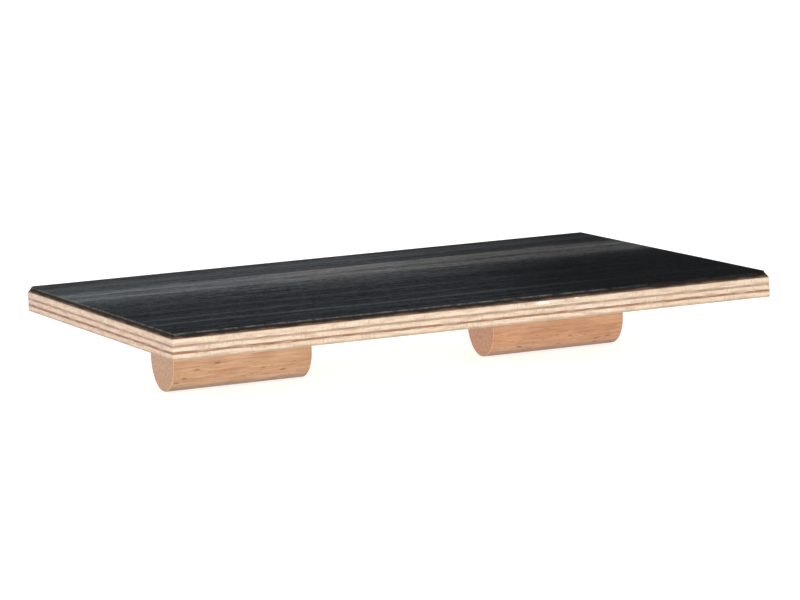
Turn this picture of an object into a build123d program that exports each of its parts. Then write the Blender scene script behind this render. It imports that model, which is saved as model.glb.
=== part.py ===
from build123d import *
import os

# Balance board: a plywood deck with a fine-ribbed rubber mat on top, standing on
# two U-shaped beech rockers that lie in one line under the deck's long centreline.
# The pair of rockers sits 4 mm off the deck's middle, towards its left end.
#
# Millimetres. The origin is on the floor, under the middle of the deck.
# +X runs along the deck and the rockers, +Y across the deck, +Z up.

# ---- driving dimensions ------------------------------------------------------

# Deck: five veneers, two thin cross veneers between three thick ones
deck_length = 600.0
deck_width = 400.0
deck_corner_radius = 1.5
face_thickness = 5.5
cross_thickness = 2.0
core_thickness = 4.0

# Rockers: upright sides, and a half-round underside across the full width
rocker_length = 140.0
rocker_width = 60.0
rocker_height = 59.8
rocker_insets = {"left": 62.0, "right": 70.0}  # from the deck's ends
rocker_end_round = 1.2
rocker_glue_thickness = 0.2

# Mat
mat_inset = 0.5  # from the deck's edges
mat_corner_radius = 2.0
mat_adhesive_thickness = 0.3
mat_base_thickness = 3.7
rib_height = 1.0
rib_pitch = 3.0
rib_foot_width = 2.3
rib_flank_angle = 72.0

# Countersunk wood screws, in line down through the deck into each rocker
screw_length = 50.0
screw_spacing = 50.0
head_radius = 4.8
head_rim_height = 0.3
head_cone_angle = 90.0
shank_radius = 1.8
shank_end_depth = 20.0  # below the top of the head
thread_root_radius = 1.7
thread_crest_radius = 2.5
thread_pitch = 2.6
thread_turns = 10
tip_radius = 0.2
recess_width = 1.0
recess_span = 4.6
recess_depth = 2.2
countersink_radius = 4.9
clearance_hole_radius = 2.75
pilot_hole_radius = 2.55
pilot_hole_end_gap = 0.5

# Fluted dowels, on each rocker's centreline between the screws
dowel_spacing = 50.0
dowel_radius = 5.0
dowel_length = 40.0
dowel_chamfer = 0.8
dowel_end_gap = 0.5
dowel_hole_radius = 5.05
flute_count = 12
flute_radius = 0.5

# ---- levels and places worked out from them ----------------------------------

deck_bottom = rocker_height + rocker_glue_thickness
veneers = {
    "deck_face_veneer_bottom": face_thickness,
    "deck_cross_veneer_lower": cross_thickness,
    "deck_core_veneer": core_thickness,
    "deck_cross_veneer_upper": cross_thickness,
    "deck_face_veneer_top": face_thickness,
}
deck_top = deck_bottom + sum(veneers.values())
mat_bottom = deck_top + mat_adhesive_thickness
mat_length = deck_length - 2 * mat_inset
mat_width = deck_width - 2 * mat_inset
rib_count = int(mat_width / rib_pitch)

# which way along X the deck's near end lies from each rocker
rocker_sides = {"left": -1, "right": 1}
rocker_middles = {
    side: outward * (deck_length / 2 - rocker_insets[side] - rocker_length / 2)
    for side, outward in rocker_sides.items()
}
# steps along a rocker from its middle, counted towards the deck's near end
screw_steps = {"outer": 1, "middle": 0, "inner": -1}
dowel_steps = {"outer": 0.5, "inner": -0.5}

dowel_top = deck_top - face_thickness - dowel_end_gap
dowel_hole_bottom = dowel_top - dowel_length - dowel_end_gap
pilot_hole_bottom = deck_top - screw_length - pilot_hole_end_gap


def spots(side, steps, spacing):
    """X and Y of each fastener in one rocker, keyed by its place along the rocker."""
    return {
        place: (rocker_middles[side] + rocker_sides[side] * step * spacing, 0)
        for place, step in steps.items()
    }


screw_spots = {side: spots(side, screw_steps, screw_spacing) for side in rocker_sides}
dowel_spots = {side: spots(side, dowel_steps, dowel_spacing) for side in rocker_sides}

os.makedirs("parts", exist_ok=True)


def save(piece, name):
    """Label a finished piece and write it as its own STEP file."""
    piece.part.label = name
    export_step(piece.part, f"parts/{name}.step")


# ---- deck veneers ------------------------------------------------------------


def drilled_veneer(bottom, thickness):
    """A full-size sheet that the screws and the dowels pass through."""
    with BuildPart() as veneer:
        with BuildSketch(Plane.XY.offset(bottom)):
            RectangleRounded(deck_length, deck_width, deck_corner_radius)
            for side in rocker_sides:
                with Locations(*screw_spots[side].values()):
                    Circle(clearance_hole_radius, mode=Mode.SUBTRACT)
                with Locations(*dowel_spots[side].values()):
                    Circle(dowel_hole_radius, mode=Mode.SUBTRACT)
        extrude(amount=thickness)
    return veneer


def top_veneer(bottom, thickness):
    """The top sheet, countersunk for the screw heads; the dowels stop under it."""
    with BuildPart() as veneer:
        with BuildSketch(Plane.XY.offset(bottom)):
            RectangleRounded(deck_length, deck_width, deck_corner_radius)
        extrude(amount=thickness)
        for side in rocker_sides:
            with Locations(Plane.XY.offset(bottom + thickness - head_rim_height)):
                with Locations(*screw_spots[side].values()):
                    CounterSinkHole(
                        clearance_hole_radius,
                        countersink_radius,
                        counter_sink_angle=head_cone_angle,
                    )
    return veneer


veneer_bottom = deck_bottom
for name, thickness in veneers.items():
    make_veneer = top_veneer if name == "deck_face_veneer_top" else drilled_veneer
    save(make_veneer(veneer_bottom, thickness), name)
    veneer_bottom += thickness


# ---- mat and its adhesive ----------------------------------------------------

with BuildPart() as adhesive:
    with BuildSketch(Plane.XY.offset(deck_top)):
        RectangleRounded(mat_length, mat_width, mat_corner_radius)
    extrude(amount=mat_adhesive_thickness)
save(adhesive, "mat_adhesive_film")

with BuildPart() as mat:
    # a flat base with a row of ribs across it, extruded along the deck
    with BuildSketch(Plane.YZ.offset(-mat_length / 2)):
        with Locations((0, mat_bottom)):
            Rectangle(mat_width, mat_base_thickness, align=(Align.CENTER, Align.MIN))
        with Locations((0, mat_bottom + mat_base_thickness)):
            with GridLocations(rib_pitch, 0, rib_count, 1):
                Trapezoid(
                    rib_foot_width,
                    rib_height,
                    rib_flank_angle,
                    align=(Align.CENTER, Align.MIN),
                )
    extrude(amount=mat_length)
    # the corners rounded in plan
    with BuildSketch(Plane.XY.offset(mat_bottom)):
        RectangleRounded(mat_length, mat_width, mat_corner_radius)
    extrude(amount=mat_base_thickness + rib_height, mode=Mode.INTERSECT)
save(mat, "ribbed_rubber_mat")


# ---- rockers and the glue above them -----------------------------------------


def rocker_block(side):
    """A beech block with a U-shaped section and blind holes in its flat top."""
    start = rocker_middles[side] - rocker_length / 2
    radius = rocker_width / 2
    with BuildPart() as rocker:
        with BuildSketch(Plane.YZ.offset(start)):
            with BuildLine():
                Polyline(
                    (-radius, radius),
                    (-radius, rocker_height),
                    (radius, rocker_height),
                    (radius, radius),
                )
                ThreePointArc((radius, radius), (0, 0), (-radius, radius))
            make_face()
        extrude(amount=rocker_length)
        top = rocker.faces().sort_by(Axis.Z)[-1]
        end_edges = rocker.faces().filter_by(Axis.X).edges() - top.edges()
        fillet(end_edges, rocker_end_round)
        with Locations(Plane.XY.offset(rocker_height)):
            with Locations(*screw_spots[side].values()):
                Hole(pilot_hole_radius, depth=rocker_height - pilot_hole_bottom)
            with Locations(*dowel_spots[side].values()):
                Hole(dowel_hole_radius, depth=rocker_height - dowel_hole_bottom)
    return rocker


def glue_film(side):
    """The glue between a rocker's flat top and the deck, open at each fastener."""
    with BuildPart() as film:
        with BuildSketch(Plane.XY.offset(rocker_height)):
            with Locations((rocker_middles[side], 0)):
                Rectangle(rocker_length - 2 * rocker_end_round, rocker_width)
            with Locations(*screw_spots[side].values()):
                Circle(clearance_hole_radius, mode=Mode.SUBTRACT)
            with Locations(*dowel_spots[side].values()):
                Circle(dowel_hole_radius, mode=Mode.SUBTRACT)
        extrude(amount=rocker_glue_thickness)
    return film


for side in rocker_sides:
    save(rocker_block(side), f"rocker_{side}")
    save(glue_film(side), f"rocker_glue_{side}")


# ---- fasteners ---------------------------------------------------------------


def screw_outline():
    """Points of the screw's half section, from the middle of its head to its tip."""
    yield (0, 0)
    yield (head_radius, 0)
    yield (head_radius, -head_rim_height)
    yield (shank_radius, -head_rim_height - (head_radius - shank_radius))
    yield (shank_radius, -shank_end_depth)
    for turn in range(thread_turns):
        depth = shank_end_depth + turn * thread_pitch
        yield (thread_root_radius, -depth)
        yield (thread_root_radius, -depth - thread_pitch * 0.35)
        yield (thread_crest_radius, -depth - thread_pitch * 0.75)
    yield (thread_root_radius, -shank_end_depth - thread_turns * thread_pitch)
    yield (tip_radius, -screw_length)
    yield (0, -screw_length)


def wood_screw(x, y):
    """A countersunk screw with a cross recess, its head flush with the deck's top."""
    with BuildPart() as screw:
        section = Plane(origin=(x, y, deck_top), x_dir=(1, 0, 0), z_dir=(0, -1, 0))
        with BuildSketch(section):
            with BuildLine():
                Polyline(*screw_outline(), close=True)
            make_face()
        revolve(axis=Axis((x, y, 0), (0, 0, 1)))
        with BuildSketch(Plane(origin=(x, y, deck_top))):
            Rectangle(recess_span, recess_width)
            Rectangle(recess_width, recess_span)
        extrude(amount=-recess_depth, mode=Mode.SUBTRACT)
    return screw


def fluted_dowel(x, y):
    """A beech dowel with chamfered ends and glue flutes along its length."""
    with BuildPart() as dowel:
        bottom = Plane(origin=(x, y, dowel_top - dowel_length))
        with BuildSketch(bottom):
            Circle(dowel_radius)
        extrude(amount=dowel_length)
        chamfer(dowel.edges().filter_by(GeomType.CIRCLE), dowel_chamfer)
        with BuildSketch(bottom):
            with PolarLocations(dowel_radius, flute_count):
                Circle(flute_radius)
        extrude(amount=dowel_length, mode=Mode.SUBTRACT)
    return dowel


for side in rocker_sides:
    for place, (x, y) in screw_spots[side].items():
        save(wood_screw(x, y), f"rocker_screw_{side}_{place}")
    for place, (x, y) in dowel_spots[side].items():
        save(fluted_dowel(x, y), f"rocker_dowel_{side}_{place}")
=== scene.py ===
import math

import bmesh
import bpy
from mathutils import Matrix, Vector, geometry, noise


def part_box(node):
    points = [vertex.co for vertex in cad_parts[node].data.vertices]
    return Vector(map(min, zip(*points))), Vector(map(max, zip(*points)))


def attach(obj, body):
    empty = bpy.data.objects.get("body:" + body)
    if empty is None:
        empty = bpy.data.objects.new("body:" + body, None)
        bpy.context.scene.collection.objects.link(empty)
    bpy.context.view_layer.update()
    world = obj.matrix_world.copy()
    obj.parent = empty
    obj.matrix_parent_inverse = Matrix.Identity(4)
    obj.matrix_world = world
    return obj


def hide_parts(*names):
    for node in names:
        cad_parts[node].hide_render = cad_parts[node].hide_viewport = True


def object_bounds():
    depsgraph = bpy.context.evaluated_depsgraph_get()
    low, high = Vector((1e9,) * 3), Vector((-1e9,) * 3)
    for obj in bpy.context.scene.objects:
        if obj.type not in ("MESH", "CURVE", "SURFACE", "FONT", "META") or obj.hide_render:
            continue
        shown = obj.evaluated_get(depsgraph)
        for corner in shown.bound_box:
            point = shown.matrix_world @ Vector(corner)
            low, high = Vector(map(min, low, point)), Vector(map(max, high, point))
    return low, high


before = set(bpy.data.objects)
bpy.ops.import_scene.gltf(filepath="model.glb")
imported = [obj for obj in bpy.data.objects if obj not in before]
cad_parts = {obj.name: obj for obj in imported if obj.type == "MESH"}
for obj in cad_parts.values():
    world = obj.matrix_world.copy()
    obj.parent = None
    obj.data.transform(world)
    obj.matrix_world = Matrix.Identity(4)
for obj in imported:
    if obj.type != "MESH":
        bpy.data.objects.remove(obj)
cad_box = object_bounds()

# A plywood balance board with a ribbed rubber mat, on two beech rockers.
# Blender lengths are metres; MM turns a size in millimetres into metres.
MM = 0.001

# ---- sizes of the visible detail ---------------------------------------------

# deck rim
RIM_STEP = 2.5 * MM  # between points round the deck's edge
CORNER_RADIUS = 1.5 * MM
CORNER_STEPS = 4
RIM_ROWS = {"face": 8, "core": 4, "cross": 3}  # rows of points up each kind of veneer
ARRIS = 0.7 * MM  # sanded rounding along the deck's top and bottom edges
CROSS_SETBACK = 0.15 * MM  # how far sanding sinks the cross veneers
SAW_WANDER = 0.06 * MM  # unevenness of the sawn rim
SAW_WANDER_LENGTH = 12 * MM
LONG_WAVE, SHORT_WAVE = 55 * MM, 13 * MM  # the joints between veneers wander up and down
LONG_WAVE_HEIGHT, SHORT_WAVE_HEIGHT = 0.40 * MM, 0.22 * MM
LEVEL_SPREAD = 40  # sets the joints' heights far apart in the noise, so that they differ
SHARP_EDGE = 35  # degrees
# chips in the top veneer's front edge: place along X, share of the veneer's height,
# half length, half height as a share, depth
CHIPS = (
    (63.5 * MM, 0.62, 8 * MM, 0.40, 0.9 * MM),
    (97.5 * MM, 0.88, 3.2 * MM, 0.16, 0.7 * MM),
)
HOLE_SIDES = 24
FILL_INSIDE = 1  # the mode of Blender's Delaunay filling that keeps to the outline
FILL_TOLERANCE = 1e-7
SHANK_CLEARANCE_RADIUS = 2.75 * MM
HEAD_CLEARANCE = 0.1 * MM
HEAD_RIM = 0.3 * MM
DOWEL_CLEARANCE = 0.05 * MM

# mat
RIB_PITCH = 3.0 * MM
RIB_HEIGHT = 1.0 * MM
RIB_HALF_OUTLINE = ((0.42, 1.0), (0.72, 0.93), (0.93, 0.62), (1.15, 0.0))  # mm, crest outwards
MAT_CORNER_RADIUS = 2.0 * MM
MAT_CUT_ROUND = 0.35 * MM
MAT_CUT_WANDER = 0.30 * MM
MAT_LIFT = 0.10 * MM
MAT_LIFT_LENGTH = 90 * MM  # between one lift of the mat's top and the next
MAT_CUT_LENGTH = 35 * MM  # between one waver of its cut edges and the next
MAT_STATIONS = 42  # cross-sections along the mat
# the last cross-sections by each end: share of the way to it, how far the cut lowers the top
MAT_END_STATIONS = ((1.0, MAT_CUT_ROUND), (0.9996, 0.3 * MAT_CUT_ROUND), (0.9985, 0.0))
# the left back and right front corners are trimmed on a slant, from the bottom corner
# to this far in along X and Y at the top
MAT_TRIM = (5.0 * MM, 10.0 * MM)
NICK = (35 * MM, 4 * MM, 1.0 * MM)  # in the front edge: place along X, half length, depth
# the plainest scuffs: share of the way from the back edge, half width, strength
SCUFFS = (
    (0.095, 0.030, 0.50),
    (0.250, 0.055, 0.35),
    (0.645, 0.020, 0.45),
    (0.760, 0.016, 1.20),
    (0.850, 0.022, 1.50),
    (0.910, 0.025, 0.50),
)


def smooth(t):
    """0 below 0, 1 above 1, and an S-curve between."""
    t = min(max(t, 0.0), 1.0)
    return t * t * (3 - 2 * t)


def bump(x, centre, half_width):
    """1 at the centre, falling smoothly to 0 half_width away."""
    return smooth(1 - abs(x - centre) / half_width)


def wander(x, y, z, wavelength):
    """Smooth noise from -1 to 1 with features about a wavelength across."""
    return noise.noise(Vector((x, y, z)) / wavelength)


# ---- colours ------------------------------------------------------------------

FACE_PALE, FACE_TAN = (0.70, 0.565, 0.42), (0.60, 0.43, 0.30)
CORE_PALE = (0.69, 0.555, 0.415)
FAINT_LINE_PALE, FAINT_LINE_TAN = (0.34, 0.225, 0.145), (0.26, 0.16, 0.10)
DARK_LINE_PALE, DARK_LINE_TAN = (0.23, 0.103, 0.044), (0.175, 0.078, 0.034)
FADED_LINE = (0.69, 0.54, 0.40)
RIM_BLOTCH = (0.50, 0.345, 0.24)
SAW_MARK = (0.30, 0.20, 0.13)
# the deck's top arris under the mat and its bottom arris are darker
TOP_ARRIS_DARK = (0.21, 0.13, 0.085)
BOTTOM_ARRIS_DARK = (0.31, 0.20, 0.12)
DECK_END_TINT = (0.955, 0.900, 0.905)
BROKEN_WOOD = (0.80, 0.735, 0.64)

BEECH_PALE = (0.565, 0.355, 0.210)
BEECH_TAN = (0.490, 0.290, 0.165)
BEECH_BROWN = (0.315, 0.160, 0.086)
BEECH_FLECK = (0.17, 0.078, 0.040)
BEECH_END = (0.515, 0.300, 0.188)
BEECH_END_DARKEST = 0.74  # the dots in the end grain, as a share of its colour
BEECH_END_RING = (0.34, 0.195, 0.12)
# painted highlight on the rockers' rounded end edges
BEECH_ARRIS_HIGHLIGHT = (0.62, 0.42, 0.27)
BEECH_LEFT_TINT, BEECH_RIGHT_TINT = (0.89, 0.855, 0.80), (0.90, 0.79, 0.71)
# painted contact shade under the rockers
BOTTOM_SHADE = (0.175, 0.098, 0.058)

RUBBER_FRESH, RUBBER_WORN = (0.0205, 0.0235, 0.0270), (0.054, 0.059, 0.064)
# painted reflection: a pale band along the mat
REFLECTION_BAND_LEFT, REFLECTION_BAND_RIGHT = (0.108, 0.117, 0.125), (0.125, 0.123, 0.122)
# painted highlight along the mat's top edge, brighter at the ends
EDGE_HIGHLIGHT_AT_ENDS, EDGE_HIGHLIGHT_AT_SIDES = (0.145, 0.145, 0.14), (0.110, 0.110, 0.106)
RUBBER_CUT = (0.020, 0.014, 0.011)
# painted warm bounce light from the wood on the mat's cut sides
WOOD_BOUNCE_BROWN = (0.115, 0.072, 0.050)

# ---- sizes of the worn and stained places, darker arrises, and painted light and shade ---

# glue soaked in beside each cross veneer: colour, reach up and down, strongest share
GLUE_SOAK = {
    "deck_cross_veneer_lower": ((0.29, 0.125, 0.055), 2.5 * MM, 0.85),
    "deck_cross_veneer_upper": ((0.30, 0.18, 0.11), 2.4 * MM, 0.60),
}
TOP_DARKENING_START, TOP_DARKENING_FULL = 1.1 * MM, 0.3 * MM  # the top arris darkens from this far below the deck's top to this far above it
TOP_DARKENING_FADE = (-0.17, 0.03)  # metres along X over which the darkening grows to full height
TOP_DARKENING_DROP = 0.45 * MM  # how much lower the darkening stands at its faint end
EDGE_DARKENING_WANDER = 0.35 * MM  # up and down, along the rim
BOTTOM_DARKENING_REACH = 2.7 * MM  # the bottom arris darkens this far up from the deck's bottom
CHIP_REACH_IN = 4 * MM  # how far in from the front edge broken wood is coloured
RING_WIDTH = 5.5  # mm, in the beech
HEART_SHIFT = (90, -150)  # mm, added to Y and Z: the tree's heart is at Y -90, Z 150
FLECKS_THIN_OUT = (14 * MM, 34 * MM)  # heights between which flecks become rarer
# kinds of beech fleck: cells per mm, chance that a cell is empty, size in cells, share
FLECKS = (
    ((0.13, 0.55, 0.55), 0.50, 0.32, 0.62),
    ((0.060, 0.15, 0.15), 0.25, 0.27, 0.75),
)
BOTTOM_SHADE_HEIGHTS = (5 * MM, 10 * MM)  # the painted contact shade is full below the first, gone above the second
REFLECTION_BAND_BACK, REFLECTION_BAND_FRONT = (0.18, 0.225), (0.34, 0.435)  # the painted reflection band's soft edges, as shares of the width
EDGE_HIGHLIGHT_REACH = (0.8 * MM, 2.2 * MM)  # from the mat's edge: painted highlight full before the first, gone past the second
RUBBER_SIDE = (0.8 * MM, 1.2 * MM)  # the same for the brown-black of its cut sides
BOUNCE_LEVEL_WANDER = (-0.7 * MM, 0.6 * MM)  # how far the level of the painted bounce light shifts
BOUNCE_REACH = 1.8 * MM  # painted bounce light reaches this far up from the mat's bottom

# ---- floor, backdrop, lights and camera --------------------------------------

FLOOR_HALF_SIZE = 16.0
FLOOR_GREY, FLOOR_GLOW = 0.60, 0.75
BACKDROP_RADIUS, BACKDROP_HEIGHT = 15.0, 3.0
BACKDROP_SIDES = 96
BACKDROP_GREY, BACKDROP_GLOW = 0.80, 1.0
SKY_LEVELS = (0.05, 0.75)  # direction's height: dimmest below the first, brightest above the second
SKY_STRENGTHS = (0.08, 1.10)
SOFTBOX_SIZE = (1.6, 0.40)
SOFTBOX_AIM = (0, 0, 0.03)
# softboxes: place, power in watts
SOFTBOXES = {"left": ((-2.77, -1.6, 0.22), 36), "front": ((0.55, -3.15, 0.22), 28)}
CAMERA_ANGLES = (-23.43, 7.88, -2.53)  # degrees: azimuth, elevation, roll
CAMERA_DISTANCE = 3.878
CAMERA_AIM_SHIFT = (5.5 * MM, -3.8 * MM, 21.7 * MM)  # from the middle of the CAD box
CAMERA_LENS, CAMERA_SENSOR = 182.65, 36  # mm
CAMERA_REACH = 100  # metres

# ---- shader nodes in few words -----------------------------------------------


class Shader:
    """A material, and short calls for the nodes that feed its Principled shader."""

    def __init__(self, name):
        self.material = bpy.data.materials.new(name)
        self.material.use_nodes = True
        self.tree = self.material.node_tree
        self.principled = self.tree.nodes["Principled BSDF"]
        self.coordinates = self.tree.nodes.new("ShaderNodeTexCoord")

    def node(self, kind, inputs, **settings):
        made = self.tree.nodes.new("ShaderNode" + kind)
        for key, value in settings.items():
            setattr(made, key, value)
        for key, value in inputs.items():
            if isinstance(value, bpy.types.NodeSocket):
                self.tree.links.new(value, made.inputs[key])
            else:
                made.inputs[key].default_value = value
        return made

    def place(self, scale, shift=(0, 0, 0)):
        """Object coordinates in millimetres, times scale, plus shift."""
        per_metre = [s / MM for s in scale]
        inputs = {"Vector": self.coordinates.outputs["Object"], "Scale": per_metre}
        inputs["Location"] = shift
        return self.node("Mapping", inputs).outputs[0]

    def place_on_rim(self, along, upright, shift=0.0):
        """Millimetres along a vertical edge, and height, each times its scale."""
        at = self.place((1, 1, 1))
        run = self.math("ADD", self.part(at, 0), self.part(at, 1))
        inputs = {0: self.math("MULTIPLY", run, along), 1: shift}
        inputs[2] = self.math("MULTIPLY", self.part(at, 2), upright)
        return self.node("CombineXYZ", inputs).outputs[0]

    def height(self):
        """Height above the floor in metres."""
        return self.part(self.coordinates.outputs["Object"], 2)

    def part(self, vector, axis):
        return self.node("SeparateXYZ", {0: vector}).outputs[axis]

    def facing(self, axis):
        """How squarely the surface faces along an axis, from 0 to 1."""
        normal = self.coordinates.outputs["Normal"]
        return self.math("ABSOLUTE", self.part(normal, axis))

    def math(self, operation, a, b=0.0):
        return self.node("Math", {0: a, 1: b}, operation=operation).outputs[0]

    def noise(self, vector, detail, roughness=0.55, distortion=0.0):
        """Soft noise, about 0.3 to 0.7, with features about 1 unit of the vector across."""
        inputs = {"Vector": vector, "Scale": 1.0, "Detail": detail}
        inputs["Roughness"] = roughness
        inputs["Distortion"] = distortion
        return self.node("TexNoise", inputs).outputs["Fac"]

    def cells(self, vector):
        """Voronoi cells: the distance to each cell's point, and a random grey per cell."""
        made = self.node("TexVoronoi", {"Vector": vector, "Scale": 1.0})
        return made.outputs["Distance"], self.part(made.outputs["Color"], 0)

    def span(self, value, low, high, to_low=0.0, to_high=1.0):
        """Maps low..high to to_low..to_high, smoothly, and holds it there beyond."""
        inputs = {0: value, 1: low, 2: high, 3: to_low, 4: to_high}
        made = self.node("MapRange", inputs, interpolation_type="SMOOTHSTEP")
        return made.outputs[0]

    def mix(self, share, a, b, blend="MIX"):
        """Colour a at share 0, b at share 1."""
        made = self.node("Mix", {0: share}, data_type="RGBA", blend_type=blend)
        for key, value in ((6, a), (7, b)):
            if isinstance(value, bpy.types.NodeSocket):
                self.tree.links.new(value, made.inputs[key])
            else:
                made.inputs[key].default_value = (*value, 1)
        return made.outputs[2]

    def feed(self, name, value):
        """Links a socket to one of the shader's inputs, or sets a constant on it."""
        if isinstance(value, bpy.types.NodeSocket):
            self.tree.links.new(value, self.principled.inputs[name])
        elif isinstance(value, tuple):
            self.principled.inputs[name].default_value = (*value, 1)
        else:
            self.principled.inputs[name].default_value = value

    def bump(self, height, distance, strength):
        """Feeds a height to the shader's normal; distance is its depth in metres."""
        inputs = {"Height": height, "Distance": distance, "Strength": strength}
        self.feed("Normal", self.node("Bump", inputs).outputs[0])


# ---- materials ---------------------------------------------------------------


def rim_detail(s, colour):
    """Saw marks, blotches, glue stains beside the cross veneers, darker top and bottom arrises, and
    chips on the deck's cut edges.
    """
    at = s.coordinates.outputs["Object"]
    on_rim = s.span(s.facing(2), 0.4, 0.8, 1.0, 0.0)
    # pinkish and yellowish blotches, longer than they are high
    blotches = s.noise(s.place_on_rim(0.05, 0.30, 2.0), detail=3.0)
    pink = s.math("MULTIPLY", on_rim, s.span(blotches, 0.44, 0.66, 0.0, 0.80))
    colour = s.mix(pink, colour, RIM_BLOTCH)
    # fine upright saw marks, plainer in some stretches than in others
    marks = s.noise(s.place_on_rim(0.42, 0.16, 5.0), detail=4.0, roughness=0.75)
    stretch = s.noise(s.place_on_rim(0.03, 0.05, 9.0), detail=1.0)
    marks = s.math("MULTIPLY", s.span(marks, 0.47, 0.70), s.span(stretch, 0.35, 0.6, 0.15, 0.60))
    marks = s.math("MULTIPLY", on_rim, marks)
    colour = s.mix(marks, colour, SAW_MARK)
    # glue that has soaked in beside the two cross veneers
    soak = s.noise(s.place_on_rim(0.06, 0.8, 12.0), detail=4.0, roughness=0.65)
    for node, (stain, reach, most) in GLUE_SOAK.items():
        low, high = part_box(node)
        off = s.math("ABSOLUTE", s.math("SUBTRACT", s.height(), (low.z + high.z) / 2))
        near = s.span(off, 0.4 * reach, reach, 1.0, 0.0)
        share = s.math("MULTIPLY", near, s.span(soak, 0.44, 0.66, 0.0, most))
        colour = s.mix(s.math("MULTIPLY", on_rim, share), colour, stain)
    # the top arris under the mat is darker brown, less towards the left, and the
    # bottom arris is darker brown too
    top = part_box("deck_face_veneer_top")[1].z
    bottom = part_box("deck_face_veneer_bottom")[0].z
    uneven = s.noise(s.place_on_rim(0.09, 0.0, 20.0), detail=3.0)
    reach_down = s.span(uneven, 0.3, 0.7, -EDGE_DARKENING_WANDER, EDGE_DARKENING_WANDER)
    level = s.math("ADD", s.height(), reach_down)
    fainter = s.span(s.part(at, 0), *TOP_DARKENING_FADE, TOP_DARKENING_DROP, 0.0)
    top_darkening_level = s.math("SUBTRACT", level, fainter)
    top_darkening = s.span(top_darkening_level, top - TOP_DARKENING_START, top + TOP_DARKENING_FULL, 0.0, 0.85)
    colour = s.mix(top_darkening, colour, TOP_ARRIS_DARK)
    edge_tone = s.span(level, bottom, bottom + BOTTOM_DARKENING_REACH, 0.92, 0.0)
    colour = s.mix(s.math("MULTIPLY", edge_tone, on_rim), colour, BOTTOM_ARRIS_DARK)
    # the two ends are a little greyer than the long sides
    ends = s.span(s.facing(0), 0.5, 0.9, 0.0, 1.0)
    colour = s.mix(ends, colour, DECK_END_TINT, blend="MULTIPLY")
    # freshly broken wood in the chips
    front = -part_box("deck_face_veneer_top")[1].y
    low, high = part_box("deck_face_veneer_top")
    ragged = s.noise(s.place((0.5, 0.5, 0.5)), detail=2.0)
    for along, share, half_length, half_height, _ in CHIPS:
        middle = (along, front, low.z + share * (high.z - low.z))
        sizes = (half_length, CHIP_REACH_IN, half_height * (high.z - low.z))
        offset = s.node("VectorMath", {0: at, 1: middle}, operation="SUBTRACT").outputs[0]
        offset = s.node("VectorMath", {0: offset, 1: sizes}, operation="DIVIDE").outputs[0]
        away = s.node("VectorMath", {0: offset}, operation="LENGTH").outputs["Value"]
        away = s.math("ADD", away, s.span(ragged, 0.3, 0.7, -0.25, 0.25))
        colour = s.mix(s.span(away, 0.55, 0.95, 1.0, 0.0), colour, BROKEN_WOOD)
    return colour


def veneer_material(name, grain, pale, tan, streak_share, patch=0.0):
    """Plywood veneer. grain is the axis, 0 or 1, that its fibres run along.

    streak_share is how far the blotches go from pale to tan, and patch how far the
    faded stretches go to the paler colour.
    """
    s = Shader(name)
    fine = [1.3, 1.3, 1.6]
    fine[grain] = 0.02
    broad = [0.10, 0.10, 0.35]
    broad[grain] = 0.012
    fibres = s.noise(s.place(fine), detail=4.0, roughness=0.6)
    blotches = s.noise(s.place(broad, shift=(3, 7, 1)), detail=2.0)
    colour = s.mix(s.span(blotches, 0.35, 0.65, 0.0, streak_share), pale, tan)
    darker = tuple(c * 0.80 for c in tan)
    colour = s.mix(s.span(fibres, 0.50, 0.78, 0.0, 0.55), colour, darker)
    # rotary-cut figure on the broad faces
    warp = s.noise(s.place((0.004, 0.02, 0.02)), detail=2.0)
    across = s.part(s.place((0.0, 0.05, 0.0)), 1)
    phase = s.math("ADD", across, s.math("MULTIPLY", warp, 9.0))
    figure = s.math("SINE", s.math("MULTIPLY", phase, math.tau))
    figure = s.span(figure, 0.2, 1.0, 0.0, 0.4)
    flat = s.span(s.facing(2), 0.7, 0.9)
    colour = s.mix(s.math("MULTIPLY", figure, flat), colour, darker)
    if grain == 1:
        # cut along their fibres, these veneers come out darker at the deck's ends
        colour = s.mix(s.span(s.facing(0), 0.5, 0.9, 0.0, 0.45), colour, darker)
    if patch:
        # stretches where the veneer is nearly as pale as its neighbours
        faded = s.noise(s.place_on_rim(0.028, 0.0, 4.0), detail=3.0)
        paler = tuple(0.5 * (p + t) for p, t in zip(FADED_LINE, tan))
        colour = s.mix(s.span(faded, 0.42, 0.60, 0.0, patch), colour, paler)
    colour = rim_detail(s, colour)
    s.feed("Base Color", colour)
    s.feed("Roughness", s.span(fibres, 0.3, 0.8, 0.46, 0.62))
    sawn = s.noise(s.place_on_rim(0.8, 0.07, 5.0), detail=3.0, roughness=0.7)
    s.bump(s.math("ADD", fibres, sawn), 0.08 * MM, 0.5)
    return s.material


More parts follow.
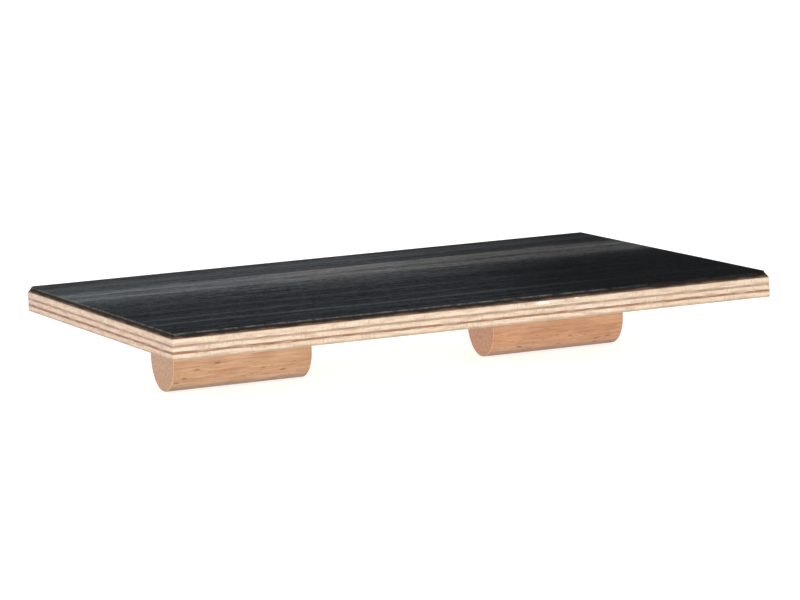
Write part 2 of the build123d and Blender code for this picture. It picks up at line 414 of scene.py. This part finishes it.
def beech_material(side, tint, shift):
    """Steamed beech with its fibres along X: fine pores, ray flecks, faint rings."""
    s = Shader("steamed_beech_" + side)
    ring_warp = s.noise(s.place((0.006, 0.03, 0.03)), detail=2.0)
    centred = s.place((0.0, 1.0, 1.0), shift=(0, *HEART_SHIFT))
    radius = s.node("VectorMath", {0: centred}, operation="LENGTH").outputs["Value"]
    rings = s.math("ADD", s.math("DIVIDE", radius, RING_WIDTH), s.math("MULTIPLY", ring_warp, 3.5))
    late_wood = s.span(s.math("FRACT", rings), 0.55, 1.0)
    pores = s.noise(s.place((0.14, 2.0, 2.0)), detail=3.0, roughness=0.65)
    at = s.place((0.03, 0.36, 0.36), shift=(3, 1, shift))
    streaks = s.noise(at, detail=4.0, roughness=0.65, distortion=0.8)
    broad = s.noise(s.place((0.022, 0.07, 0.07), shift=(5, 2, shift)), detail=2.0)
    colour = s.mix(s.span(broad, 0.40, 0.62), BEECH_PALE, BEECH_TAN)
    colour = s.mix(s.math("MULTIPLY", late_wood, 0.25), colour, BEECH_BROWN)
    colour = s.mix(s.span(streaks, 0.42, 0.66, 0.0, 0.55), colour, BEECH_BROWN)
    colour = s.mix(s.span(pores, 0.54, 0.80, 0.0, 0.50), colour, BEECH_BROWN)
    # ray flecks: many short dashes along the grain, and larger ones, both rarer higher up
    fewer = s.span(s.height(), *FLECKS_THIN_OUT, 0.0, 0.85)
    for scale, chance, size, share in FLECKS:
        distance, lot = s.cells(s.place(scale, shift=(chance * 10, 0, shift)))
        drawn = s.math("GREATER_THAN", s.math("SUBTRACT", lot, fewer), chance)
        spot = s.math("MULTIPLY", s.span(distance, 0.3 * size, size, 1.0, 0.0), drawn)
        colour = s.mix(s.math("MULTIPLY", spot, share), colour, BEECH_FLECK)
    # end grain is greyer and darker, and the rounded end edges get a painted pale highlight
    end = s.span(s.facing(0), 0.6, 0.9)
    dots = s.noise(s.place((1.0, 0.34, 0.34), shift=(4, 4, 4)), detail=3.0, roughness=0.65)
    dot_colour = tuple(BEECH_END_DARKEST * c for c in BEECH_END)
    end_colour = s.mix(s.span(dots, 0.43, 0.59), BEECH_END, dot_colour)
    end_colour = s.mix(s.math("MULTIPLY", late_wood, 0.25), end_colour, BEECH_END_RING)
    colour = s.mix(s.math("MULTIPLY", end, 0.9), colour, end_colour)
    past_side, before_end = s.span(s.facing(0), 0.12, 0.35), s.span(s.facing(0), 0.65, 0.9, 1.0, 0.0)
    arris = s.math("MULTIPLY", past_side, before_end)
    colour = s.mix(s.math("MULTIPLY", arris, 0.5), colour, BEECH_ARRIS_HIGHLIGHT)
    # painted contact shade on the underside that the board rolls on, fading out higher up
    shade_patches = s.noise(s.place((0.08, 0.3, 0.3)), detail=3.0)
    underneath = s.span(s.facing(2), 0.72, 0.93)
    bottom_shade = s.math("MULTIPLY", underneath, s.span(shade_patches, 0.3, 0.6, 0.55, 0.85))
    bottom_shade = s.math("MULTIPLY", bottom_shade, s.span(s.height(), *BOTTOM_SHADE_HEIGHTS, 1.0, 0.0))
    colour = s.mix(bottom_shade, colour, BOTTOM_SHADE)
    colour = s.mix(1.0, colour, tint, blend="MULTIPLY")
    s.feed("Base Color", colour)
    s.feed("Roughness", s.span(pores, 0.3, 0.8, 0.42, 0.58))
    s.feed("Coat Weight", 0.12)
    s.feed("Coat Roughness", 0.35)
    s.bump(pores, 0.06 * MM, 0.5)
    return s.material


def rubber_material():
    """Black ribbed rubber with a painted reflection band along the deck, and thin scuffed streaks."""
    s = Shader("black_rubber")
    low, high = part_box("ribbed_rubber_mat")
    length, width = high.x - low.x, high.y - low.y
    at = s.coordinates.outputs["Object"]
    # share of the mat's length from its left end, and of its width from its back edge
    along = s.math("ADD", s.math("MULTIPLY", s.part(at, 0), 1 / length), 0.5)
    depth = s.math("ADD", s.math("MULTIPLY", s.part(at, 1), -1 / width), 0.5)
    waver = s.noise(s.place((0.005, 0.03, 0.0), shift=(1, 1, 0)), detail=4.0, roughness=0.6)
    edge = s.math("ADD", depth, s.span(waver, 0.3, 0.7, -0.014, 0.014))
    # painted reflection: a pale band along the mat, where the ribs would mirror a light
    reflection_band_colour = s.mix(s.span(along, 0.10, 0.55), REFLECTION_BAND_LEFT, REFLECTION_BAND_RIGHT)
    colour = s.mix(s.span(edge, 0.36, 0.62, 1.0, 0.0), RUBBER_FRESH, RUBBER_WORN)
    in_reflection_band = s.math("MULTIPLY", s.span(edge, *REFLECTION_BAND_BACK), s.span(edge, *REFLECTION_BAND_FRONT, 1.0, 0.0))
    colour = s.mix(in_reflection_band, colour, reflection_band_colour)
    # streaks along the ribs: soft broad ones, fine ones, and the plainest scuffs
    broad = s.noise(s.place((0.0012, 0.055, 0.0), shift=(2, 5, 0)), detail=1.0)
    thin = s.noise(s.place((0.003, 0.36, 0.0), shift=(8, 1, 0)), detail=3.0, roughness=0.7)
    broken = s.noise(s.place((0.020, 0.14, 0.0), shift=(4, 7, 0)), detail=5.0, roughness=0.7)
    mottle = s.noise(s.place((0.16, 0.20, 0.16), shift=(6, 2, 0)), detail=4.0, roughness=0.75)
    # the fine streaks are plainer in front of the painted reflection band, which is even
    finest = s.span(thin, 0.3, 0.7, -0.35, 0.45)
    finest = s.math("ADD", finest, s.span(mottle, 0.38, 0.64, -0.38, 0.48))
    finest = s.math("MULTIPLY", finest, s.span(edge, 0.32, 0.46, 0.45, 1.0))
    gain = s.math("ADD", s.span(broad, 0.3, 0.7, 0.70, 1.25), finest)
    gain = s.math("ADD", gain, s.span(broken, 0.35, 0.70, -0.22, 0.38))
    for centre, half_width, strength in SCUFFS:
        off = s.math("ABSOLUTE", s.math("SUBTRACT", edge, centre))
        scuff = s.span(off, 0.0, half_width, strength, 0.0)
        gain = s.math("ADD", gain, scuff)
    # painted shade: the mat darkens towards the right-hand end as light falling off would darken it,
    # most of all towards the front and in the back corner
    sooner = s.math("ADD", along, s.span(edge, 0.70, 0.78, 0.0, 0.05))
    falloff_shade = s.math("MULTIPLY", s.span(sooner, 0.46, 0.84), s.span(edge, 0.36, 0.52, 0.50, 0.86))
    corner = s.math("MULTIPLY", s.span(along, 0.70, 0.98), s.span(edge, 0.20, 0.30, 0.45, 0.12))
    in_corner = s.math("ADD", s.math("MULTIPLY", falloff_shade, 0.5), corner)
    falloff_shade = s.math("MAXIMUM", falloff_shade, in_corner)
    gain = s.math("MULTIPLY", gain, s.math("SUBTRACT", 1.0, falloff_shade))
    gain = s.math("MAXIMUM", gain, s.span(mottle, 0.38, 0.64, 0.10, 0.36))
    gain_colour = s.node("CombineXYZ", {0: gain, 1: gain, 2: gain}).outputs[0]
    colour = s.mix(1.0, colour, gain_colour, blend="MULTIPLY")
    # knife-cut border: a painted highlight along the top edge, and brown-black sides
    to_end = s.math("SUBTRACT", length / 2, s.math("ABSOLUTE", s.part(at, 0)))
    to_side = s.math("SUBTRACT", width / 2, s.math("ABSOLUTE", s.part(at, 1)))
    to_edge = s.math("MINIMUM", to_end, to_side)
    edge_tone = s.noise(s.place_on_rim(0.07, 0.0, 30.0), detail=4.0, roughness=0.7)
    edge_highlight = s.span(to_edge, *EDGE_HIGHLIGHT_REACH, 1.0, 0.0)
    edge_highlight = s.math("MULTIPLY", edge_highlight, s.span(edge_tone, 0.38, 0.60, 0.05, 1.0))
    edge_highlight = s.math("MULTIPLY", edge_highlight, s.span(along, 0.62, 0.82, 1.0, 0.15))
    at_side = s.span(s.math("SUBTRACT", to_end, to_side), 0.0, 2 * MM)
    edge_highlight_colour = s.mix(at_side, EDGE_HIGHLIGHT_AT_ENDS, EDGE_HIGHLIGHT_AT_SIDES)
    colour = s.mix(edge_highlight, colour, edge_highlight_colour)
    # the cut sides are brown-black, browner at the bottom with painted warm light bounced from the wood
    side = s.span(s.facing(2), 0.15, 0.5, 1.0, 0.0)
    side = s.math("MULTIPLY", side, s.span(to_edge, *RUBBER_SIDE, 1.0, 0.0))
    uneven = s.noise(s.place_on_rim(0.045, 0.0, 7.0), detail=3.0)
    bounce_level = s.math("ADD", s.height(), s.span(uneven, 0.35, 0.65, *BOUNCE_LEVEL_WANDER))
    above_bounce = s.span(bounce_level, low.z, low.z + BOUNCE_REACH)
    colour = s.mix(side, colour, s.mix(above_bounce, WOOD_BOUNCE_BROWN, RUBBER_CUT))
    s.feed("Base Color", colour)
    s.feed("Roughness", s.span(thin, 0.3, 0.7, 0.66, 0.82))
    s.feed("Specular IOR Level", 0.05)
    grit = s.noise(s.place((0.8, 2.5, 2.5)), detail=2.0)
    s.bump(grit, 0.05 * MM, 0.4)
    return s.material


def plain_material(name, low_colour, high_colour, roughness, metallic=0.0):
    """A faintly mottled material for the pieces inside the board."""
    s = Shader(name)
    mottle = s.noise(s.place((0.3, 0.3, 0.3)), detail=3.0)
    s.feed("Base Color", s.mix(s.span(mottle, 0.35, 0.65), low_colour, high_colour))
    s.feed("Roughness", s.span(mottle, 0.3, 0.7, roughness - 0.05, roughness + 0.05))
    s.feed("Metallic", metallic)
    return s.material


# ---- building pieces ---------------------------------------------------------


def add_piece(name, mesh_data, material, node):
    """Finishes a mesh as a visible piece that stands for one CAD node."""
    bmesh.ops.recalc_face_normals(mesh_data, faces=mesh_data.faces)
    mesh = bpy.data.meshes.new(name)
    mesh_data.to_mesh(mesh)
    mesh_data.free()
    mesh.materials.append(material)
    piece = bpy.data.objects.new(name, mesh)
    bpy.context.scene.collection.objects.link(piece)
    mesh.shade_smooth()
    mesh.set_sharp_from_angle(angle=math.radians(SHARP_EDGE))
    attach(piece, "root")
    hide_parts(node)


def quads_between(data, loop_a, loop_b):
    """Joins two closed loops of as many vertices each with quads."""
    for i in range(len(loop_a)):
        j = (i + 1) % len(loop_a)
        data.faces.new((loop_a[i], loop_a[j], loop_b[j], loop_b[i]))


# ---- the mat -----------------------------------------------------------------


def mat_profile(low, high):
    """Points (y, z) across the mat from its front bottom edge to its back one."""
    base_top = high.z - RIB_HEIGHT
    count = round((high.y - low.y) / RIB_PITCH)
    points = [(low.y, low.z), (low.y, base_top - MAT_CUT_ROUND / 2)]
    for rib in range(count):
        centre = (rib - (count - 1) / 2) * RIB_PITCH
        for y, z in reversed(RIB_HALF_OUTLINE):
            points.append((centre - y * MM, base_top + z * MM))
        for y, z in RIB_HALF_OUTLINE:
            points.append((centre + y * MM, base_top + z * MM))
    points += [(high.y, base_top - MAT_CUT_ROUND / 2), (high.y, low.z)]
    return points


def build_mat(material):
    """The ribbed mat: rounded ribs along X, knife-cut edges, rounded corners."""
    low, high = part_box("ribbed_rubber_mat")
    half_length, half_width = high.x, high.y
    profile = mat_profile(low, high)
    data = bmesh.new()

    def end_x(y):
        """How far the mat reaches along X at a given y."""
        into_corner = max(abs(y) - (half_width - MAT_CORNER_RADIUS), 0) / MAT_CORNER_RADIUS
        cut = 1 - math.sqrt(max(1 - into_corner**2, 0))
        return half_length - cut * MAT_CORNER_RADIUS

    def trimmed(end, y):
        """How far the top is cut back at the left (-1) or right (1) end at a given y."""
        from_corner = half_width + end * y
        return MAT_TRIM[0] * max(1 - from_corner / MAT_TRIM[1], 0)

    def edge_shift(x, y):
        """How far in from its place a point near the front or back edge is cut."""
        edge = smooth(1 - (half_width - abs(y)) / RIB_PITCH)
        shift = MAT_CUT_WANDER * abs(wander(x, math.copysign(1, y), 0, MAT_CUT_LENGTH))
        if y < 0:
            shift += NICK[2] * bump(x, NICK[0], NICK[1])
        return edge * shift

    # each station: share of the way to an end, and how far the cut lowers the top there
    inner = [2 * i / (MAT_STATIONS - 1) - 1 for i in range(1, MAT_STATIONS - 1)]
    inner += [(NICK[0] + step * NICK[1]) / half_length for step in (-1, -0.5, 0, 0.5, 1)]
    stations = [(-share, drop) for share, drop in MAT_END_STATIONS]
    stations += [(share, 0.0) for share in sorted(inner)]
    stations += [(share, drop) for share, drop in reversed(MAT_END_STATIONS)]

    rows = []
    for share, drop in stations:
        row = []
        for y, z in profile:
            x = share * end_x(y)
            inwards = math.copysign(edge_shift(x, y), -y)
            if z > low.z:
                x = share * (end_x(y) - trimmed(math.copysign(1, share), y))
                z += MAT_LIFT * wander(x, y, 3, MAT_LIFT_LENGTH) - drop
            row.append(data.verts.new((x, y + inwards, z)))
        rows.append(row)
    for a, b in zip(rows, rows[1:]):
        quads_between(data, a, b)
    # each end: a wall down to the bottom, and a bottom strip that takes its points
    for end, row in ((-1, rows[0]), (1, rows[-1])):
        feet = [row[0]]
        feet += [data.verts.new((end * end_x(v.co.y), v.co.y, low.z)) for v in row[1:-1]]
        feet.append(row[-1])
        for i in range(1, len(row) - 2):
            data.faces.new((row[i], row[i + 1], feet[i + 1], feet[i]))
        data.faces.new((row[0], row[1], feet[1]))
        data.faces.new((row[-2], row[-1], feet[-2]))
        data.faces.new(feet)
    add_piece("ribbed_mat", data, material, "ribbed_rubber_mat")


# ---- the deck ----------------------------------------------------------------


def deck_outline(half_length, half_width):
    """Points (x, y, outward x, outward y) round the deck, corners rounded."""
    points = []
    corners = ((1, -1, -90), (1, 1, 0), (-1, 1, 90), (-1, -1, 180))
    for index, (side_x, side_y, start) in enumerate(corners):
        centre_x = side_x * (half_length - CORNER_RADIUS)
        centre_y = side_y * (half_width - CORNER_RADIUS)
        for step in range(CORNER_STEPS + 1):
            angle = math.radians(start + 90 * step / CORNER_STEPS)
            out_x, out_y = math.cos(angle), math.sin(angle)
            x = centre_x + CORNER_RADIUS * out_x
            y = centre_y + CORNER_RADIUS * out_y
            points.append((x, y, out_x, out_y))
        run = 2 * (half_width if index % 2 == 0 else half_length) - 2 * CORNER_RADIUS
        steps = round(run / RIM_STEP)
        for step in range(1, steps):
            along = run * step / steps
            points.append((x - out_y * along, y + out_x * along, out_x, out_y))
    return points


def veneer_holes(name):
    """The deck's holes as (x, y, [(height, radius), ...]) from bottom to top."""
    low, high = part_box(name)
    is_top = name == "deck_face_veneer_top"
    holes = []
    for node in sorted(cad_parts):
        is_screw = node.startswith("rocker_screw_")
        is_dowel = node.startswith("rocker_dowel_") and not is_top
        if not (is_screw or is_dowel):
            continue
        near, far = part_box(node)
        middle = (near + far) / 2
        if is_screw:
            levels = [(low.z, SHANK_CLEARANCE_RADIUS)]
            if is_top:
                head = (far.x - near.x) / 2 + HEAD_CLEARANCE
                cone_top = high.z - HEAD_RIM
                levels.append((cone_top - (head - SHANK_CLEARANCE_RADIUS), levels[0][1]))
                levels += [(cone_top, head), (high.z, head)]
            else:
                levels.append((high.z, SHANK_CLEARANCE_RADIUS))
        else:
            radius = (far.y - near.y) / 2 + DOWEL_CLEARANCE
            levels = [(low.z, radius), (high.z, radius)]
        holes.append((middle.x, middle.y, levels))
    return holes


def rim_rows(name):
    """Heights and setbacks of the rim's rows of points, as shares of the veneer."""
    low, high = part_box(name)
    kind = name.split("_")[1]
    setback = CROSS_SETBACK if kind == "cross" else 0.0
    count = RIM_ROWS[kind]
    rows = [(i / (count - 1), setback) for i in range(count)]
    arris = ARRIS / (high.z - low.z)
    rounded = [(0.0, ARRIS), (0.3 * arris, 0.3 * ARRIS), (arris, 0.0)]
    if name == "deck_face_veneer_top":
        rows = rows[:-1] + [(1 - share, inset) for share, inset in reversed(rounded)]
    if name == "deck_face_veneer_bottom":
        rows = rounded + rows[1:]
    return rows


def joint_wave(x, y, level):
    """How far a joint between veneers strays from its level at the rim."""
    sideways = level * LEVEL_SPREAD
    long_wave = LONG_WAVE_HEIGHT * wander(x, y, sideways, LONG_WAVE)
    return long_wave + SHORT_WAVE_HEIGHT * wander(x, y, sideways, SHORT_WAVE)


def chip_depth(x, share):
    """How deep the top veneer's front edge is broken away at a place on it."""
    depths = [depth * bump(x, along, half_length) * bump(share, height, half_height)
              for along, height, half_length, half_height, depth in CHIPS]
    return max(depths)


def fill_sheet(data, loops, holes):
    """Fills a sheet's face with triangles, inside its outline and outside its round holes."""
    verts = [vert for loop in loops for vert in loop]
    edges = []
    for loop in loops:
        start = len(edges)
        edges += [(start + i, start + (i + 1) % len(loop)) for i in range(len(loop))]
    flat = [vert.co.xy for vert in verts]
    filled = geometry.delaunay_2d_cdt(flat, edges, [], FILL_INSIDE, FILL_TOLERANCE)
    faces, sources = filled[2], filled[3]
    for face in faces:
        corners = [verts[sources[i][0]] for i in face]
        middle = sum((corner.co.xy for corner in corners), Vector((0, 0))) / 3
        if all((middle - Vector(centre)).length > radius for centre, radius in holes):
            data.faces.new(corners)


def build_veneer(name, material, is_lowest, is_highest):
    """One sheet of the deck with a slightly uneven rim, wavy joints and its holes."""
    low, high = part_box(name)
    outline = deck_outline(high.x, high.y)
    data = bmesh.new()
    rows = []
    for share, setback in rim_rows(name):
        row = []
        for x, y, out_x, out_y in outline:
            bottom = low.z + (0.0 if is_lowest else joint_wave(x, y, low.z))
            top = high.z + (0.0 if is_highest else joint_wave(x, y, high.z))
            z = bottom + (top - bottom) * share
            inset = setback + SAW_WANDER * (1 + wander(x, y, z * 4, SAW_WANDER_LENGTH))
            if is_highest and out_y < -0.99:
                inset += chip_depth(x, share)
            row.append(data.verts.new((x - out_x * inset, y - out_y * inset, z)))
        rows.append(row)
    for a, b in zip(rows, rows[1:]):
        quads_between(data, a, b)
    loops, holes = ([rows[0]], [rows[-1]]), ([], [])
    for x, y, levels in veneer_holes(name):
        rings = []
        for z, radius in levels:
            angles = [math.tau * i / HOLE_SIDES for i in range(HOLE_SIDES)]
            points = [(x + radius * math.cos(a), y + radius * math.sin(a), z) for a in angles]
            rings.append([data.verts.new(point) for point in points])
        for a, b in zip(rings, rings[1:]):
            quads_between(data, b, a)
        for side, ring, level in ((0, rings[0], levels[0]), (1, rings[-1], levels[-1])):
            loops[side].append(ring)
            holes[side].append(((x, y), level[1]))
    for side in (0, 1):
        fill_sheet(data, loops[side], holes[side])
    add_piece(name.replace("deck_", ""), data, material, name)


# ---- everything the object shows ---------------------------------------------

face_wood = veneer_material("face_veneer", 0, FACE_PALE, FACE_TAN, 0.55)
core_wood = veneer_material("core_veneer", 0, CORE_PALE, FACE_TAN, 0.45)
faint_line = veneer_material("cross_veneer_faint", 1, FAINT_LINE_PALE, FAINT_LINE_TAN, 0.7, 0.50)
dark_line = veneer_material("cross_veneer_dark", 1, DARK_LINE_PALE, DARK_LINE_TAN, 0.7, 0.2)
beech_left = beech_material("left", BEECH_LEFT_TINT, 6)
beech_right = beech_material("right", BEECH_RIGHT_TINT, 17)
rubber = rubber_material()
adhesive = plain_material("dried_adhesive", (0.10, 0.06, 0.035), (0.16, 0.10, 0.06), 0.5)
glue = plain_material("dried_wood_glue", (0.62, 0.52, 0.36), (0.70, 0.60, 0.44), 0.4)
dowel_wood = plain_material("dowel_beech", (0.60, 0.40, 0.25), (0.66, 0.46, 0.30), 0.6)
zinc = plain_material("zinc_plate", (0.60, 0.60, 0.58), (0.72, 0.72, 0.70), 0.35, metallic=1.0)

build_mat(rubber)
build_veneer("deck_face_veneer_bottom", face_wood, True, False)
build_veneer("deck_cross_veneer_lower", dark_line, False, False)
build_veneer("deck_core_veneer", core_wood, False, False)
build_veneer("deck_cross_veneer_upper", faint_line, False, False)
build_veneer("deck_face_veneer_top", face_wood, False, True)

kept_nodes = {
    "mat_adhesive_film": adhesive,
    "rocker_left": beech_left,
    "rocker_right": beech_right,
    "rocker_glue": glue,
    "rocker_screw": zinc,
    "rocker_dowel": dowel_wood,
}
for node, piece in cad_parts.items():
    for start, material in kept_nodes.items():
        if node.startswith(start):
            piece.data.materials.clear()
            piece.data.materials.append(material)

# ---- stage: floor, backdrop, light and camera --------------------------------


def glowing_sheet(name, data, shader, grey, glow):
    """An object from mesh data, in an even grey that also gives off white light."""
    mesh = bpy.data.meshes.new(name)
    data.to_mesh(mesh)
    data.free()
    shader.feed("Base Color", (grey, grey, grey))
    shader.feed("Emission Color", (1.0, 1.0, 1.0))
    shader.feed("Emission Strength", glow)
    mesh.materials.append(shader.material)
    sheet = bpy.data.objects.new(name, mesh)
    bpy.context.scene.collection.objects.link(sheet)
    return sheet


def build_floor():
    """A pale floor wider than the backdrop.

    It glows like a light table, so that the shadow under the board stays faint.
    """
    data = bmesh.new()
    bmesh.ops.create_grid(data, x_segments=1, y_segments=1, size=FLOOR_HALF_SIZE)
    s = Shader("pale_floor")
    s.feed("Roughness", 0.8)
    s.feed("Specular IOR Level", 0.1)
    floor = glowing_sheet("floor", data, s, FLOOR_GREY, FLOOR_GLOW)


def build_backdrop():
    """A low round white wall that hides the floor's edge; only the camera sees it."""
    data = bmesh.new()
    sizes = {"radius1": BACKDROP_RADIUS, "radius2": BACKDROP_RADIUS, "depth": 2 * BACKDROP_HEIGHT}
    bmesh.ops.create_cone(data, segments=BACKDROP_SIDES, **sizes)
    s = Shader("white_backdrop")
    backdrop = glowing_sheet("backdrop", data, s, BACKDROP_GREY, BACKDROP_GLOW)
    backdrop.visible_diffuse = False
    backdrop.visible_glossy = False
    backdrop.visible_shadow = False


def build_sky():
    """A soft studio dome: bright overhead, dimmer towards the horizon."""
    world = bpy.data.worlds.new("studio")
    bpy.context.scene.world = world
    world.use_nodes = True
    tree = world.node_tree
    background = tree.nodes["Background"]
    direction = tree.nodes.new("ShaderNodeTexCoord").outputs["Generated"]
    height = tree.nodes.new("ShaderNodeSeparateXYZ")
    tree.links.new(direction, height.inputs[0])
    ramp = tree.nodes.new("ShaderNodeMapRange")
    tree.links.new(height.outputs["Z"], ramp.inputs["Value"])
    for key, value in zip(("From Min", "From Max", "To Min", "To Max"), SKY_LEVELS + SKY_STRENGTHS):
        ramp.inputs[key].default_value = value
    tree.links.new(ramp.outputs[0], background.inputs["Color"])
    background.inputs["Strength"].default_value = 1.0


def build_softbox(name, place, power):
    """A wide low light panel that faces the board and that the camera doesn't see."""
    lamp = bpy.data.lights.new(name, "AREA")
    lamp.shape = "RECTANGLE"
    lamp.size, lamp.size_y = SOFTBOX_SIZE
    lamp.energy = power
    light = bpy.data.objects.new(name, lamp)
    light.location = place
    light.visible_camera = False
    light.rotation_mode = "QUATERNION"
    light.rotation_quaternion = (Vector(SOFTBOX_AIM) - Vector(place)).to_track_quat("-Z", "Y")
    bpy.context.scene.collection.objects.link(light)


def build_camera():
    """The camera: a long lens from the front left, low and slightly tilted."""
    azimuth, elevation, roll = (math.radians(a) for a in CAMERA_ANGLES)
    aim = (cad_box[0] + cad_box[1]) / 2 + Vector(CAMERA_AIM_SHIFT)
    back = Vector((
        math.sin(azimuth) * math.cos(elevation),
        -math.cos(azimuth) * math.cos(elevation),
        math.sin(elevation),
    ))
    level_right = Vector((0, 0, 1)).cross(back).normalized()
    level_up = back.cross(level_right)
    right = level_right * math.cos(roll) + level_up * math.sin(roll)
    up = back.cross(right)
    lens = bpy.data.cameras.new("camera")
    lens.sensor_width = CAMERA_SENSOR
    lens.lens = CAMERA_LENS
    lens.clip_end = CAMERA_REACH
    camera = bpy.data.objects.new("camera", lens)
    turn = Matrix((right, up, back)).transposed().to_4x4()
    camera.matrix_world = Matrix.Translation(aim + back * CAMERA_DISTANCE) @ turn
    bpy.context.scene.collection.objects.link(camera)
    bpy.context.scene.camera = camera


build_floor()
build_backdrop()
build_sky()
for name, (place, power) in SOFTBOXES.items():
    build_softbox(name, place, power)
build_camera()
bpy.context.scene.view_settings.view_transform = "Standard"
